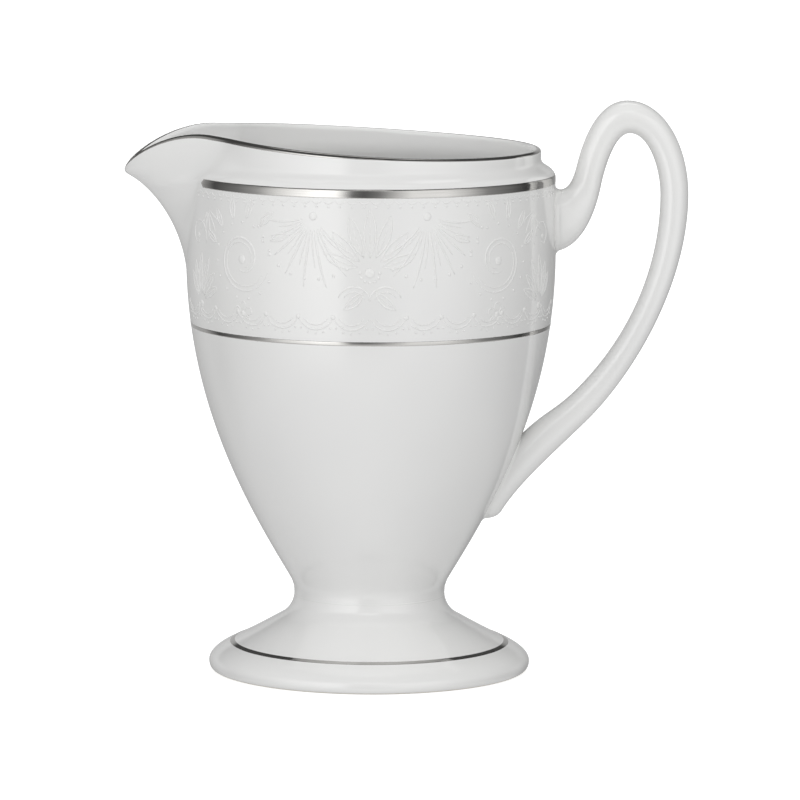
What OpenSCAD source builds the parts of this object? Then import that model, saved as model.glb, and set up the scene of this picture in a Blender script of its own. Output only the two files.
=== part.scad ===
// Footed bone-china cream jug: an urn-shaped bowl with a beaked spout, a looped handle and a trumpet foot.
// The origin is the centre of the foot on the table. +Z is up, the spout points to -X and the handle to +X.

/* [Bowl] */
// Largest outer radius of the bowl
bowl_r = 40.9; // [40:0.1:42]
// Height of the largest radius
bowl_widest_z = 93; // [91:0.5:95]
// Wall thickness of the bowl
bowl_wall = 2.4; // [2:0.1:2.8]
// Height of the inside of the bowl's floor
bowl_floor_z = 20.2; // [19.8:0.1:21]

/* [Shoulder and collar] */
// Height of the shoulder, where the platinum band ends
shoulder_z = 110.8; // [110:0.1:111]
// Outer radius of the upright collar
collar_r = 37.5; // [37.3:0.1:37.8]
// Wall thickness at the lip
lip_wall = 1.8; // [1.6:0.1:2.2]
// Height of the rim over the handle
rim_back_z = 116.4; // [116:0.1:117]
// Height of the rim at its crest, beside the spout
rim_crest_z = 120.2; // [119.8:0.1:120.5]

/* [Spout] */
// Reach of the spout's tip from the axis
spout_reach = 54.5; // [53:0.5:56]
// Height of the pouring edge at the tip
spout_tip_z = 112.1; // [111:0.1:112.5]
// Height of the lowest point of the notch that the spout fills
notch_z = 88.5; // [87.5:0.5:89.5]
// Half the width of the notch at the rim
notch_half_w = 20.8; // [20:0.1:21.2]
// Wall thickness of the spout
spout_wall = 2.2; // [1.8:0.1:2.4]

/* [Handle] */
// Reach of the handle from the axis
handle_reach = 70.1; // [69:0.1:71]
// Height of the top of the handle, which is the jug's overall height
handle_top_z = 127; // [126:0.1:128]
// Thickness of the handle, seen from the side
handle_thick = 6.2; // [5.6:0.1:6.8]
// Width of the handle, seen from the back
handle_w = 7.4; // [6.5:0.1:8.5]

/* [Foot] */
// Largest radius of the foot
foot_r = 35.7; // [34.5:0.1:36.5]
// Outer radius of the ground ring that the jug stands on
foot_ring_r = 34.4; // [33.8:0.1:34.4]
// Width of the ground ring
foot_ring_w = 1.7; // [1.4:0.1:2]
// Radius of the narrowest point, at the waist
waist_r = 16.7; // [16:0.1:17.5]
// Height of the narrowest point
waist_z = 17.3; // [17.1:0.1:17.7]

/* [Decoration] */
// Width of the platinum band on the shoulder
band_w = 1.9; // [1.5:0.1:2.2]
// Height of the platinum line round the body
body_line_z = 77.4; // [76:0.1:78]
// Width of the thin platinum lines
line_w = 0.9; // [0.6:0.1:1.1]
// Height of the raised enamel above the glaze
relief_h = 0.4; // [0.3:0.05:0.5]

/* [Hidden] */
$fn = 128;
// Thickness of slip, thickness of platinum, and the gap under a piece laid on another
slip_t = 0.3;
foil_t = 0.08;
fit_gap = 0.05;
china = "white";
enamel = "ghostwhite";
slip = "gainsboro";
platinum = "silver";

// ---- helpers ----
function bez(a, b, c, d, n) = [for (i = [0:n]) let(t = i / n, u = 1 - t)
    u * u * u * a + 3 * u * u * t * b + 3 * u * t * t * c + t * t * t * d];
function tail(list) = [for (i = [1:len(list) - 1]) list[i]];
function reverse(list) = [for (i = [len(list) - 1:-1:0]) list[i]];
function unit(v) = v / norm(v);
function mix(a, b, t) = a * (1 - t) + b * t;
// The unit normal of a line of points at point i, to the left of its direction
function normal(p, i) = let(d = unit(p[min(i + 1, len(p) - 1)] - p[max(i - 1, 0)])) [-d[1], d[0]];
function grow(p, t) = [for (i = [0:len(p) - 1]) p[i] + t * normal(p, i)];
// The faces of a tube: n closed rings of m points each. The caller caps its ends
function tube_faces(n, m) = [for (j = [0:n - 2], i = [0:m - 1]) let(k = (i + 1) % m)
    each [[j * m + i, j * m + k, (j + 1) * m + k], [j * m + i, (j + 1) * m + k, (j + 1) * m + i]]];

// ---- the outer outline, radius and height, from the ground ring up to above the rim ----
waist_fillet = 6.3;
wall_lean = 31;
flare_lean = 61;
waist_c = [waist_r + waist_fillet, waist_z];
function waist_at(a) = waist_c + waist_fillet * [-cos(a), sin(a)];
foot_line_p = [30.6, 6.1];
foot_edge_z = 1.8;
// The foot ends and the slip starts just under the waist
foot_top_z = waist_z - 0.8;
flare_end_lean = 23;
flare_end_dir = [cos(flare_end_lean), -sin(flare_end_lean)];
collar_z = 114;
above_rim_z = 122;
outline = concat(
    bez([foot_ring_r, 0], [foot_ring_r + 0.8, 0], [foot_r, 0.7], [foot_r, foot_edge_z], 4),
    tail(bez([foot_r, foot_edge_z], [foot_r, 3.4], foot_line_p + 3 * flare_end_dir, foot_line_p, 7)),
    tail(bez(foot_line_p, foot_line_p - 3.4 * flare_end_dir,
        waist_at(-flare_lean) + 2 * [sin(flare_lean), -cos(flare_lean)], waist_at(-flare_lean), 8)),
    [for (i = [1:9]) waist_at(mix(-flare_lean, wall_lean, i / 10))],
    bez(waist_at(wall_lean), waist_at(wall_lean) + 18.6 * [sin(wall_lean), cos(wall_lean)],
        [bowl_r, bowl_widest_z - 33.4], [bowl_r, bowl_widest_z], 20),
    tail(bez([bowl_r, bowl_widest_z], [bowl_r, 98], [bowl_r - 0.15, 104],
        [bowl_r - 0.2, shoulder_z - 0.8], 6)),
    tail(bez([bowl_r - 0.2, shoulder_z - 0.8], [bowl_r - 0.4, shoulder_z + 1.6],
        [collar_r + 0.4, shoulder_z + 1.2], [collar_r, collar_z], 8)),
    [[collar_r, above_rim_z]]);
outline_r = [for (p = outline) [p[1], p[0]]];
function out_r(z) = lookup(z, outline_r);
// The stretch of the outline between two heights
function stretch(z0, z1) = concat([[out_r(z0), z0]], [for (p = outline) if (p[1] > z0 && p[1] < z1) p],
    [[out_r(z1), z1]]);

// ---- the inside of the bowl, radius and height, from the floor's centre up ----
inner_start_z = 29;
inner_low = grow(stretch(inner_start_z, bowl_widest_z), bowl_wall);
inner_dir = unit(inner_low[1] - inner_low[0]);
inner_outline = concat(
    bez([0, bowl_floor_z], [9, bowl_floor_z], inner_low[0] - 7 * inner_dir, inner_low[0], 10),
    tail(inner_low),
    tail(bez([bowl_r - bowl_wall, bowl_widest_z], [bowl_r - bowl_wall, 99], [bowl_r - bowl_wall, 102],
        [bowl_r - bowl_wall - 0.1, shoulder_z - 5], 4)),
    tail(bez([bowl_r - bowl_wall - 0.1, shoulder_z - 5], [bowl_r - bowl_wall - 0.2, shoulder_z],
        [collar_r - lip_wall, shoulder_z - 0.4], [collar_r - lip_wall, collar_z + 1], 8)),
    [[collar_r - lip_wall, above_rim_z]]);
inner_r_table = [for (p = inner_outline) [p[1], p[0]]];
function in_r(z) = lookup(z, inner_r_table);

// ---- the rim's height, which depends on x alone ----
crest_x = -36;
back_fall = 1.85;
crest_slope = back_fall * (rim_crest_z - rim_back_z) / (collar_r - crest_x);
// How long the beak stays level before it drops, and how round its tip is
beak_level = 1.9;
beak_round = 0.72;
function rim_z(x) = x > crest_x ? rim_behind(x) : rim_in_front(x);
function rim_behind(x) = let(share = max(0, (collar_r - x) / (collar_r - crest_x)))
    mix(rim_back_z, rim_crest_z, pow(share, back_fall));
function rim_in_front(x) = let(v = min(1, (crest_x - x) / (crest_x + spout_reach)))
    rim_crest_z + crest_slope * (crest_x - x) * (1 - v) * (1 - v)
        - (rim_crest_z - spout_tip_z) * (1 - pow(1 - pow(v, beak_level), beak_round));
rim_table = [for (x = [-collar_r - 0.5:1.9:collar_r + 2]) [x, rim_z(x)]];
function cut_z(x) = lookup(x, rim_table);

// ---- the notch in the wall that the spout fills: half-width and height, from its lowest point up ----
notch_toe = 0.8;
notch_shoulder = [16.6, shoulder_z + 0.8];
notch_rows = 9;
collar_rows = 4;
rim_x = -sqrt(collar_r * collar_r - notch_half_w * notch_half_w);
notch_side = concat(
    bez([notch_toe, notch_z], [5.5, notch_z + 2], [12.5, 102.5], notch_shoulder, notch_rows),
    tail(bez(notch_shoulder, notch_shoulder + [1.2, 2.6], [notch_half_w - 0.6, rim_z(rim_x) - 3.2],
        [notch_half_w, rim_z(rim_x)], collar_rows)));
rows = len(notch_side) - 1;
// The same side, moved in by the thickness of the slip
fill_toe = 0.64;
fill_side = [for (i = [0:rows]) i == 0
    ? [fill_toe, notch_z + slip_t]
    : notch_side[i] + slip_t * normal(notch_side, i)];
side_extra = 4;
function closed_side(side) = concat(side, [[side[rows][0], side[rows][1] + side_extra]]);
function notch_outline(side) = let(half = closed_side(side))
    concat(half, [for (p = reverse(half)) [-p[0], p[1]]]);

// ---- the spout's surface ----
keel_bend = [spout_reach - 1.7, spout_tip_z - 2.4];
keel = concat(
    bez([out_r(notch_z + slip_t), notch_z + slip_t], [bowl_r + 0.5, notch_z + 7.2],
        [bowl_r + 4.5, notch_z + 16.2], keel_bend, notch_rows + 1),
    tail(bez(keel_bend, keel_bend + [1.1, 0.8], [spout_reach, spout_tip_z - 1], [spout_reach, spout_tip_z],
        collar_rows - 1)));
// Row j of the spout's outside or inside: points from the keel to one side
cols = 12;
// How flat the row is at the keel, as a share of the seam's half-width, and how straight it leaves the seam
keel_flat = 0.22;
seam_straight = 0.2;
function section(k, s, lean) =
    let(keel_point = [k[0], k[1]],
        seam_point = [s[0], s[1]],
        span = keel_point - seam_point,
        along_collar = unit([-s[1], s[0]]),
        d = unit(mix(unit(span), along_collar, lean)))
    bez(keel_point, [k[0], s[1] * keel_flat], seam_point + norm(span) * seam_straight * d, seam_point, cols);
function lean_at(j) = pow(max(0, (j - notch_rows) / collar_rows), 2);
function seam(j, inside) = let(p = fill_side[j], r = inside ? in_r(p[1]) : out_r(p[1]))
    [-sqrt(r * r - p[0] * p[0]), p[0], p[1]];
keel_inner = [for (i = [0:rows]) keel[i] + (i < rows ? spout_wall : lip_wall) * normal(keel, i)];
function keel_at(j, inside) = j == 0
    ? [-(inside ? in_r(fill_side[0][1]) : keel[0][0]), 0, fill_side[0][1]]
    : inside
        ? [-keel_inner[j][0], 0, j == rows ? spout_tip_z : keel_inner[j][1]]
        : [-keel[j][0], 0, keel[j][1]];
// The top row, on both sides of the wall, takes its height from the rim over the outside
rim_plan = section(keel_at(rows, false), seam(rows, false), lean_at(rows));
function row_half(j, inside) =
    let(k = keel_at(j, inside), s = seam(j, inside), plan = section(k, s, lean_at(j)))
    [for (i = [0:cols]) [plan[i][0], plan[i][1],
        j == rows ? rim_z(rim_plan[i][0]) : mix(k[2], s[2], pow(i / cols, 2))]];
function full_row(half) = concat([for (i = [cols:-1:1]) [half[i][0], -half[i][1], half[i][2]]], half);
outer_rows = [for (j = [0:rows]) full_row(row_half(j, false))];
inner_rows = [for (j = [0:rows]) full_row(row_half(j, true))];

// ---- the handle: its two edges in the side view, from the upper joint round to the tail ----
root_top = [bowl_r + 0.4, 107.2];
root_low = [bowl_r + 0.4, 93.6];
neck_out = [45.4, 112.7];
neck_in = [50.9, 108.9];
crest_out = [56.5, handle_top_z];
crest_in = [57, handle_top_z - handle_thick - 1];
back_out = [handle_reach, 105.9];
back_in = [handle_reach - handle_thick, 105.9];
elbow_out = [51.6, 59.6];
elbow_in = [45.3, 62.3];
tail_out = [29.3, 35.4];
tail_in = [22.5, 37.5];
handle_out = concat(
    bez(root_top, root_top + [1.9, 0], neck_out - [1.1, 4.5], neck_out, 8),
    tail(bez(neck_out, neck_out + [1.5, 6.2], crest_out - [6.5, 0], crest_out, 8)),
    tail(bez(crest_out, crest_out + [8, 0], back_out + [0, 11.1], back_out, 10)),
    tail(bez(back_out, back_out - [0, 15.9], elbow_out + [10.7, 12.9], elbow_out, 12)),
    tail(bez(elbow_out, elbow_out - [5.4, 6.5], tail_out + [4.9, 8.1], tail_out, 12)),
    tail(bez(tail_out, tail_out - [0.7, 1.1], [27.2, 33.8], [25.4, 33.8], 4)));
handle_in = concat(
    bez(root_low, root_low + [5.2, 1.2], neck_in - [1.3, 7.4], neck_in, 8),
    tail(bez(neck_in, neck_in + [1.1, 4.8], crest_in - [3, 0], crest_in, 8)),
    tail(bez(crest_in, crest_in + [4, 0], back_in + [0, 6.6], back_in, 10)),
    tail(bez(back_in, back_in - [0, 16], elbow_in + [12.1, 12.1], elbow_in, 12)),
    tail(bez(elbow_in, elbow_in - [6.9, 6.9], [35, 57.5], tail_in, 12)),
    tail(bez(tail_in, tail_in - [0.5, 1], [23.4, 34.8], [24.6, 34.4], 4)));
handle_n = len(handle_out);
// Half-width by the ring's number
width_table = [[0, 5.2], [2, 4.7], [6, handle_w / 2], [16, handle_w / 2 + 0.4], [26, handle_w / 2],
    [38, handle_w / 2 - 0.3], [44, 4.2], [49, 4.6], [52, 3.8], [54, 1.6]];
handle_sides = 20;
roundness = 0.85;
function off_bowl(p, force) = let(r = norm([p[0], p[1]]), to = out_r(p[2]) + slip_t + fit_gap)
    r < to || force ? [p[0] * to / r, p[1] * to / r, p[2]] : p;
function squarish(c) = sign(c) * pow(abs(c), roundness);
function handle_ring(i, scale) =
    let(c = (handle_out[i] + handle_in[i]) / 2,
        h = (handle_out[i] - handle_in[i]) / 2 * scale,
        w = lookup(i, width_table) * scale)
    [for (k = [0:handle_sides - 1])
        let(a = 360 * k / handle_sides, u = squarish(cos(a)), v = squarish(sin(a)))
        off_bowl([c[0] + h[0] * u, w * v, c[1] + h[1] * u], i == 0)];

// ---- strands of raised enamel, laid on the wall by azimuth and height ----
mm_per_deg = bowl_r * PI / 180;
// A point on the wall: s is the arc length to the right of the front, h is the height above the glaze
function on_wall(s, z, h) = let(a = s / mm_per_deg, r = out_r(z) + h) [r * sin(a), -r * cos(a), z];
// A strand's foot stands this far above the wall, and its top edges are drawn in by this share of its width
strand_gap = 0.02;
strand_bevel = 0.2;
// A tapered strand's width at its ends, as a share of its width in the middle
strand_tip = 0.25;
function strand_ring(p, i, w, taper) =
    let(t = i / (len(p) - 1),
        swell = taper ? mix(strand_tip, 1, pow(sin(180 * t), 0.8)) : 1,
        side = w / 2 * swell * normal(p, i),
        a = p[i] + side,
        b = p[i] - side,
        b_top = mix(b, a, strand_bevel),
        a_top = mix(a, b, strand_bevel))
    [on_wall(a[0], a[1], strand_gap), on_wall(b[0], b[1], strand_gap),
        on_wall(b_top[0], b_top[1], relief_h), on_wall(a_top[0], a_top[1], relief_h)];

module strand(p, w, taper) {
    n = len(p);
    polyhedron([for (i = [0:n - 1]) each strand_ring(p, i, w, taper)],
        concat(tube_faces(n, 4), [[3, 2, 1, 0], [for (i = [0:3]) 4 * (n - 1) + i]]));
}

module both_ways(p, w, taper) {
    strand(p, w, taper);
    strand([for (q = reverse(p)) [-q[0], q[1]]], w, taper);
}

module pearl(s, z, r) {
    rotate([0, 0, s / mm_per_deg])
        translate([0, -out_r(z) - 3 * strand_gap, z])
            rotate([90, 0, 0])
                cylinder(r = r, h = relief_h, $fn = 24);
}

module both_pearls(s, z, r) {
    pearl(s, z, r);
    pearl(-s, z, r);
}

// Leaves that spread from one point; each is a tapered strand
leaf_start = 3.2;
module fan(from, length, first, last, count, w) {
    for (i = [0:count - 1]) {
        a = first + (last - first) * i / (count - 1);
        d = [cos(a), sin(a)];
        both_ways([for (t = [0:6]) from + d * mix(leaf_start, length, t / 6)], w, true);
    }
}

// A spiral arc from angle a0 to a1 whose radius runs from r0 to r1
function spiral(c, r0, r1, a0, a1, n) = [for (i = [0:n]) let(t = i / n, a = mix(a0, a1, t))
    c + mix(r0, r1, t) * [cos(a), sin(a)]];

// One frieze: a palmette over the front; a fan, a scroll and a spray on either side; and swags below
frieze_top = shoulder_z - band_w - 1.4;
frieze_low = body_line_z + 2.6;
palm_z = bowl_widest_z + 0.5;
fan_c = [15.5, frieze_top - 1.5];
scroll_c = [31.5, palm_z + 2];
spray_c = [46.5, frieze_low + 4.7];
curl_c = [46.5, palm_z + 6];
swag_pitch = 8.8;
swag_r = 4.1;
swags = 6;
swag_z = frieze_low + 6.2;
swag_pearl_z = frieze_low + 1.6;
band_strand_w = 0.9;
module frieze() {
    strand([for (t = [0:6]) [0, palm_z + leaf_start + 1.5 * t]], 2, true);
    fan([0, palm_z], 10.5, 30, 66, 3, 1.5);
    pearl(0, palm_z - 1, 1.1);
    fan(fan_c, 11, 250, 322, 5, 1.5);
    both_pearls(fan_c[0], fan_c[1], 1);
    both_ways(spiral(scroll_c, 7.5, 2, -150, 250, 26), band_strand_w, false);
    both_pearls(scroll_c[0], scroll_c[1], 1.1);
    fan(spray_c, 9.5, 45, 135, 4, 1.5);
    both_pearls(spray_c[0], spray_c[1], 0.9);
    both_ways(spiral(curl_c, 3.6, 1.4, 200, -120, 14), band_strand_w, false);
    pearl(0, swag_pearl_z, 0.6);
    for (i = [1:swags]) {
        swag_c = [swag_pitch * (i - 0.5), swag_z];
        both_ways(spiral(swag_c, swag_r, swag_r, 205, 335, 10), band_strand_w, false);
        both_pearls(swag_pitch * i, swag_pearl_z, 0.6);
    }
}

// ---- the china ----
module bowl_wall_solid(z0) {
    difference() {
        rotate_extrude() polygon(concat([[0, z0]], stretch(z0, above_rim_z), reverse(inner_outline)));
        above_rim();
    }
}

// The stretch of the bowl's wall that the notch is cut from
module wall_around_notch() {
    low = notch_z - 2;
    span = 80;
    difference() {
        rotate([0, 0, 180 - span / 2])
            rotate_extrude(angle = span)
                polygon(concat(stretch(low, above_rim_z),
                    reverse([for (p = inner_outline) if (p[1] > low) p]), [[in_r(low), low]]));
        above_rim();
    }
}

module above_rim() {
    cut_top = 140;
    cut_x = collar_r + 5;
    rotate([90, 0, 0])
        linear_extrude(height = 4 * collar_r, center = true)
            polygon(concat(rim_table, [[cut_x, cut_top], [-cut_x, cut_top]]));
}

// A side outline pushed through the wall in front, and no further in than clear_x
module notch_prism(outline_points) {
    clear_x = 20;
    translate([-spout_reach, 0, 0])
        rotate([90, 0, 90])
            linear_extrude(height = spout_reach - clear_x)
                polygon(outline_points);
}

module bowl() {
    color(china) difference() {
        bowl_wall_solid(foot_top_z + slip_t);
        notch_prism(notch_outline(notch_side));
    }
}

module spout() {
    m = 2 * cols + 1;
    // Each loop of the grid runs up the outside, over the lip and down the inside
    grid = concat([for (j = [0:rows]) outer_rows[j]], [for (j = [rows:-1:0]) inner_rows[j]]);
    n = len(grid);
    skin_faces = [for (j = [0:n - 1], i = [0:m - 2]) let(k = (j + 1) % n)
        each [[j * m + i, j * m + i + 1, k * m + i + 1], [j * m + i, k * m + i + 1, k * m + i]]];
    edge_faces = [for (j = [0:rows - 1]) let(o = j, p = j + 1, q = n - 1 - j, r = n - 2 - j)
        each [[o * m, p * m, q * m], [p * m, r * m, q * m],
            [o * m + m - 1, q * m + m - 1, p * m + m - 1], [p * m + m - 1, q * m + m - 1, r * m + m - 1]]];
    color(china) polyhedron([for (row = grid) each row], concat(skin_faces, edge_faces));
}

// The foot is hollow underneath: a flat ceiling, then an arch down to the ground ring
module foot() {
    ring_in = foot_ring_r - foot_ring_w;
    ceiling_z = 13.6;
    arch = [24.5, 6.2];
    color(china) rotate_extrude() polygon(concat(stretch(0, foot_top_z), [[0, foot_top_z], [0, ceiling_z]],
        bez([9, ceiling_z], [15, ceiling_z], arch + [-6, 3], arch, 8),
        tail(bez(arch, arch + [4, -2], [ring_in - 1.2, 3], [ring_in, 0], 6))));
}

module handle() {
    // Smaller copies of the first ring close the handle's root against the bowl
    cap_scales = [0.33, 0.67];
    rings = concat([for (s = cap_scales) handle_ring(0, s)], [for (i = [0:handle_n - 1]) handle_ring(i, 1)]);
    n = len(rings);
    m = handle_sides;
    root = off_bowl([root_low[0], 0, (root_low[1] + root_top[1]) / 2], true);
    last_mid = (handle_out[handle_n - 1] + handle_in[handle_n - 1]) / 2;
    tip = off_bowl([last_mid[0], 0, last_mid[1]], false);
    points = concat([for (ring = rings) each ring], [root, tip]);
    ends = [for (i = [0:m - 1]) let(k = (i + 1) % m)
        each [[n * m, k, i], [n * m + 1, (n - 1) * m + i, (n - 1) * m + k]]];
    color(china) polyhedron(points, concat(tube_faces(n, m), ends));
}

// ---- the slip that holds the pieces together ----
module foot_joint() {
    color(slip) rotate_extrude() polygon(concat([[0, foot_top_z]], stretch(foot_top_z, foot_top_z + slip_t),
        [[0, foot_top_z + slip_t]]));
}

module spout_joint() {
    outer = closed_side(notch_side);
    inner = closed_side(fill_side);
    color(slip) intersection() {
        wall_around_notch();
        notch_prism(concat(outer, reverse(inner), [for (p = tail(inner)) [-p[0], p[1]]],
            [for (p = reverse(outer)) [-p[0], p[1]]]));
    }
}

// A patch of slip on the bowl's wall, under one end of the handle
module slip_patch(z0, z1, half_w) {
    wall = stretch(z0 - 1, z1 + 1);
    span = 30;
    mid_z = (z0 + z1) / 2;
    footprint = [for (a = [0:15:345]) [half_w * cos(a), mid_z + (z1 - z0) / 2 * sin(a)]];
    intersection() {
        rotate([0, 0, -span / 2])
            rotate_extrude(angle = span)
                polygon(concat(wall, reverse(grow(wall, -slip_t))));
        rotate([90, 0, 90])
            linear_extrude(height = 2 * bowl_r)
                polygon(footprint);
    }
}

module handle_upper_joint() {
    edge = 0.3;
    color(slip) slip_patch(root_low[1] + edge, root_top[1] - edge, width_table[0][1] - edge);
}

module handle_lower_joint() {
    low = 35;
    high = 53.4;
    half_w = 4;
    color(slip) slip_patch(low, high, half_w);
}

// ---- the platinum ----
// A ring laid on the outline between two heights; if it isn't whole, its gap is at the spout
module foil_ring(z0, z1, angle) {
    strip = stretch(z0, z1);
    rotate([0, 0, -angle / 2])
        rotate_extrude(angle = angle)
            polygon(concat(strip, reverse(grow(strip, -foil_t))));
}

module rim_line() {
    foil_half_w = 0.35;
    // Over the bowl, the line stops one degree short of each seam
    a0 = atan2(notch_half_w, -rim_x) + 1;
    round_steps = 84;
    arc = [for (i = [0:round_steps]) let(a = mix(180 - a0, a0 - 180, i / round_steps)) [cos(a), sin(a)]];
    mid_r = collar_r - lip_wall / 2;
    top_out = outer_rows[rows];
    top_in = inner_rows[rows];
    // Inner edge, outer edge and height of the foil at each station
    on_bowl = [for (d = arc) [(mid_r - foil_half_w) * d, (mid_r + foil_half_w) * d, cut_z(mid_r * d[0])]];
    on_spout = [for (i = [0:2 * cols])
        let(o = [top_out[i][0], top_out[i][1]],
            q = [top_in[i][0], top_in[i][1]],
            c = (o + q) / 2,
            d = unit(o - q))
        [c - foil_half_w * d, c + foil_half_w * d, top_out[i][2]]];
    stations = concat(on_bowl, on_spout);
    n = len(stations);
    points = [for (s = stations) let(a = s[0], b = s[1], low = s[2] + fit_gap, high = low + foil_t)
        each [[a[0], a[1], low], [b[0], b[1], low], [b[0], b[1], high], [a[0], a[1], high]]];
    faces = [for (j = [0:n - 1], i = [0:3]) let(k = (i + 1) % 4, l = (j + 1) % n)
        each [[4 * j + i, 4 * l + k, 4 * j + k], [4 * j + i, 4 * l + i, 4 * l + k]]];
    color(platinum) polyhedron(points, faces);
}

module shoulder_band() {
    half_gap = 24.8;
    color(platinum) foil_ring(shoulder_z - band_w, shoulder_z, 360 - 2 * half_gap);
}

module body_line() {
    color(platinum) foil_ring(body_line_z - line_w / 2, body_line_z + line_w / 2, 360);
}

module foot_line() {
    flare_lean_here = flare_end_lean + 4;
    half_rise = line_w / 2 * sin(flare_lean_here);
    color(platinum) foil_ring(foot_line_p[1] - half_rise, foot_line_p[1] + half_rise, 360);
}

// ---- the raised white enamel ----
module relief_front() {
    color(enamel) frieze();
}

module relief_back() {
    color(enamel) rotate([0, 0, 180]) frieze();
}

bowl();
spout();
foot();
handle();
foot_joint();
spout_joint();
handle_upper_joint();
handle_lower_joint();
rim_line();
shoulder_band();
body_line();
foot_line();
relief_front();
relief_back();
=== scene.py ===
"""The looks of a footed bone-china cream jug with platinum lines and raised white lace.

Outlines are in millimetres, in the CAD model's frame: the origin is the centre of the foot on the table,
+Z is up, the spout points to -X and the handle to +X. They are turned into metres where a mesh is made.
"""

import math

import bpy
import numpy as np
from mathutils import Euler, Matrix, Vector
from mathutils.bvhtree import BVHTree


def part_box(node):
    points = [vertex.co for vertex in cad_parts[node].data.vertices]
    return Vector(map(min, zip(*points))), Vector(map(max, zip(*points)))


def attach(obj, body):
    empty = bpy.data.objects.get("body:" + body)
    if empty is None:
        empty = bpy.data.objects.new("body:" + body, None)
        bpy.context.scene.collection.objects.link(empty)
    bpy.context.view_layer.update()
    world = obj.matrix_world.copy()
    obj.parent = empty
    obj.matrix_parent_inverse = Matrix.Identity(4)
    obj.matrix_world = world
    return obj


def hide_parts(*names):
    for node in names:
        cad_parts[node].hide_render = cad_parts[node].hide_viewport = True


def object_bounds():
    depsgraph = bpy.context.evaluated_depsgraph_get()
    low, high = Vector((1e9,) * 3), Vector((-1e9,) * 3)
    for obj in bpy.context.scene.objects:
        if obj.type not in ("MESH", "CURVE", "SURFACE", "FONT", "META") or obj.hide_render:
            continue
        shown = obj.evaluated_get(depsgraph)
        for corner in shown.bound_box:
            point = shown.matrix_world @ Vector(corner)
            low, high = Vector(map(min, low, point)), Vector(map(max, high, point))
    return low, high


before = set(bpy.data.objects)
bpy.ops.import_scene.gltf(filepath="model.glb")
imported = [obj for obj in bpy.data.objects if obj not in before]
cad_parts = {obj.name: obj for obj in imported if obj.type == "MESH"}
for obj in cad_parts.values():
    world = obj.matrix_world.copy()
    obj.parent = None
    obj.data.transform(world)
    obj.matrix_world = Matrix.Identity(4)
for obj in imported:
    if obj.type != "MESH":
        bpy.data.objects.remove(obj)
cad_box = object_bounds()
MM = 0.001


# ---- driving dimensions, some read from the imported model, the rest given ----
X, Y, Z = range(3)


def node_span(node, axis):
    """The least and the greatest coordinate of a CAD node along an axis, in millimetres."""
    return [round(float(corner[axis]) / MM, 2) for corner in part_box(node)]


BAND_SPAN = node_span("shoulder_band", Z)
BODY_LINE_SPAN = node_span("body_line", Z)
FOOT_LINE_SPAN = node_span("foot_line", Z)
BOWL_R = round(node_span("bowl", Y)[1], 1)
WIDEST_Z = 93.0
BOWL_WALL = 2.4
BOWL_FLOOR_Z = 20.2
BOWL_BASE_Z = node_span("bowl", Z)[0]
SHOULDER_Z = BAND_SPAN[1]
COLLAR_R = 37.5
COLLAR_Z = 114.0
ABOVE_RIM_Z = 122
LIP_WALL = 1.8
LIP_R = LIP_WALL / 2
RIM_BACK_Z = 116.4
RIM_CREST_Z = 120.2
CREST_X = -36.0
BACK_FALL = 1.85
SPOUT_REACH = -node_span("spout", X)[0]
SPOUT_TIP_Z = 112.1
SPOUT_WALL = 2.2
BEAK_LEVEL = 1.9
BEAK_ROUND = 0.72
NOTCH_Z = 88.5
NOTCH_HALF_W = 20.8
HANDLE_REACH = node_span("handle", X)[1]
HANDLE_TOP_Z = node_span("handle", Z)[1]
HANDLE_THICK = 6.2
FOOT_R = node_span("foot", X)[1]
FOOT_TOP_Z = node_span("foot", Z)[1]
FOOT_RING_R = 34.4
FOOT_RING_W = 1.7
WAIST_R = 16.7
WAIST_Z = 17.3
WAIST_FILLET = 6.3
FOOT_LINE = np.array([30.6, 6.1])


# ---- curves ----
def bez(a, b, c, d, n):
    """n + 1 points along a cubic curve."""
    return bez_at(a, b, c, d, np.linspace(0, 1, n + 1)[:, None])


def bez_at(a, b, c, d, t):
    """The point at share t of a cubic curve."""
    a, b, c, d = (np.asarray(p, float) for p in (a, b, c, d))
    u = 1 - t
    return u ** 3 * a + 3 * u * u * t * b + 3 * u * t * t * c + t ** 3 * d


def chain(*runs):
    """Joins runs of points whose ends meet."""
    return np.vstack([runs[0]] + [run[1:] for run in runs[1:]])


def unit(v):
    v = np.asarray(v, float)
    return v / np.maximum(np.linalg.norm(v, axis=-1, keepdims=True), 1e-12)


def left_normals(p):
    """Unit normals to the left of a plane line of points."""
    d = unit(np.gradient(p, axis=0))
    return np.stack([-d[:, 1], d[:, 0]], 1)


def resample(p, n):
    """n + 1 points evenly spaced along a line of points."""
    steps = np.concatenate([[0], np.cumsum(np.linalg.norm(np.diff(p, axis=0), axis=1))])
    at = np.linspace(0, steps[-1], n + 1)
    return np.stack([np.interp(at, steps, p[:, k]) for k in range(p.shape[1])], 1)


def smoothstep(x):
    x = np.clip(x, 0, 1)
    return x * x * (3 - 2 * x)


# ---- the outline, radius and height, outside and inside ----
# Degrees from upright where the waist's fillet ends, below and above, and the slope at the foot's line
FLARE_LEAN = 61
WALL_LEAN = 31
LINE_SLOPE = math.radians(23)


def waist_at(degrees):
    """A point on the fillet round the waist."""
    a = math.radians(degrees)
    return np.array([WAIST_R + WAIST_FILLET - WAIST_FILLET * math.cos(a),
                     WAIST_Z + WAIST_FILLET * math.sin(a)])


def leaning(degrees, up):
    """The direction that leans outward from upright; up is 1 for rising or -1 for falling."""
    a = math.radians(degrees)
    return np.array([math.sin(a), up * math.cos(a)])


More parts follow.
